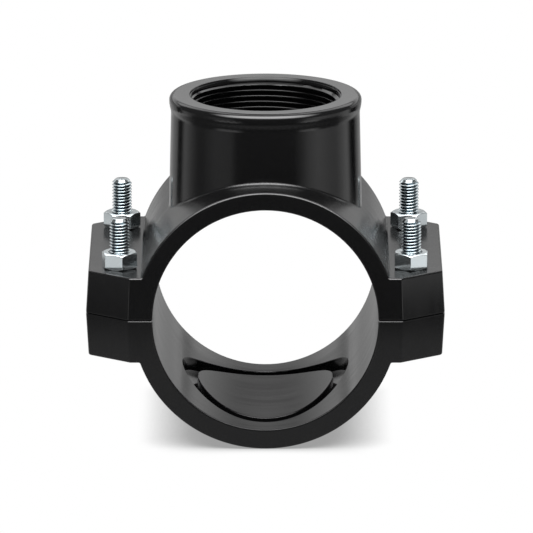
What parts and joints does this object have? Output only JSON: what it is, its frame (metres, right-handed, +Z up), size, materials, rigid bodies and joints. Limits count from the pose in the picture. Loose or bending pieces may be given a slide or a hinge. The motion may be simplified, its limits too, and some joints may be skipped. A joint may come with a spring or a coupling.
{
  "type": "tapping saddle",
  "caption": "Two-piece bolted clamp saddle that closes round a 90 mm pipe and gives it an upright 2 inch female threaded outlet.",
  "frame": {"origin": "centre of the pipe's bore, below the outlet, in the plane where the halves meet", "axes": "+X across the flanges, +Y along the pipe, +Z up the outlet"},
  "size_m": [0.1434, 0.106, 0.1337],
  "materials": {
    "black_polypropylene": "satin moulded",
    "seal_rubber": "matt",
    "zinc_plated_steel": "bright zinc plated"
  },
  "bodies": {
    "upper": {"upper_half": "black_polypropylene", "outlet_seal": "seal_rubber"},
    "lower": {"lower_half": "black_polypropylene", "bolt_front_left": "zinc_plated_steel", "bolt_front_right": "zinc_plated_steel", "bolt_back_left": "zinc_plated_steel", "bolt_back_right": "zinc_plated_steel"},
    "nut_front_left": {"nut_front_left": "zinc_plated_steel"},
    "nut_front_right": {"nut_front_right": "zinc_plated_steel"},
    "nut_back_left": {"nut_back_left": "zinc_plated_steel"},
    "nut_back_right": {"nut_back_right": "zinc_plated_steel"}
  },
  "joints": [
    {"name": "upper_half_slide", "type": "slide", "parent": "lower", "child": "upper", "axis": [0, 0, 1], "range_m": [0, 0.013]},
    {"name": "nut_front_left_turn", "type": "hinge", "parent": "upper", "child": "nut_front_left", "pos_m": [-0.0583, -0.034, 0.0174], "axis": [0, 0, 1], "range_deg": [0, 3748]},
    {"name": "nut_front_right_turn", "type": "hinge", "parent": "upper", "child": "nut_front_right", "pos_m": [0.0583, -0.034, 0.0174], "axis": [0, 0, 1], "range_deg": [0, 3748]},
    {"name": "nut_back_left_turn", "type": "hinge", "parent": "upper", "child": "nut_back_left", "pos_m": [-0.0583, 0.034, 0.0174], "axis": [0, 0, 1], "range_deg": [0, 3748]},
    {"name": "nut_back_right_turn", "type": "hinge", "parent": "upper", "child": "nut_back_right", "pos_m": [0.0583, 0.034, 0.0174], "axis": [0, 0, 1], "range_deg": [0, 3748]}
  ],
  "couplings": [
    {"joint": "nut_front_left_turn", "follows": "upper_half_slide", "rad_per_m": 5026.5},
    {"joint": "nut_front_right_turn", "follows": "upper_half_slide", "rad_per_m": 5026.5},
    {"joint": "nut_back_left_turn", "follows": "upper_half_slide", "rad_per_m": 5026.5},
    {"joint": "nut_back_right_turn", "follows": "upper_half_slide", "rad_per_m": 5026.5}
  ]
}
